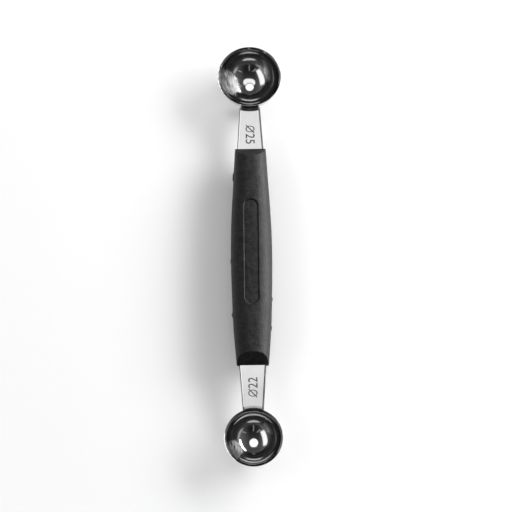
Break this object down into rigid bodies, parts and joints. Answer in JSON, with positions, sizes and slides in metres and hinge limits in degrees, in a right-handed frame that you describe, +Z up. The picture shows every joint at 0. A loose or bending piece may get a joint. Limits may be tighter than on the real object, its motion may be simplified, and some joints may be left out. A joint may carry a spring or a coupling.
{
  "type": "melon baller",
  "caption": "Double-ended melon baller: a moulded grip on a steel strip, with a larger and a smaller hemispherical scoop, each with a drain hole.",
  "frame": {"origin": "on the table that the tool lies on, under the middle of its overall box", "axes": "+Z up, out of the bowls' mouths; +Y along the tool towards the larger bowl; +X across it"},
  "size_m": [0.0266, 0.18, 0.0176],
  "materials": {
    "grip_plastic": "black polypropylene, finely mottled, half matt",
    "strip_steel": "rolled stainless strip, polished bright, size marks etched dark",
    "bowl_steel": "stainless sheet, pressed and polished to a mirror"
  },
  "bodies": {
    "root": {"grip": "grip_plastic", "shank": "strip_steel", "large_bowl": "bowl_steel", "small_bowl": "bowl_steel"}
  },
  "joints": []
}
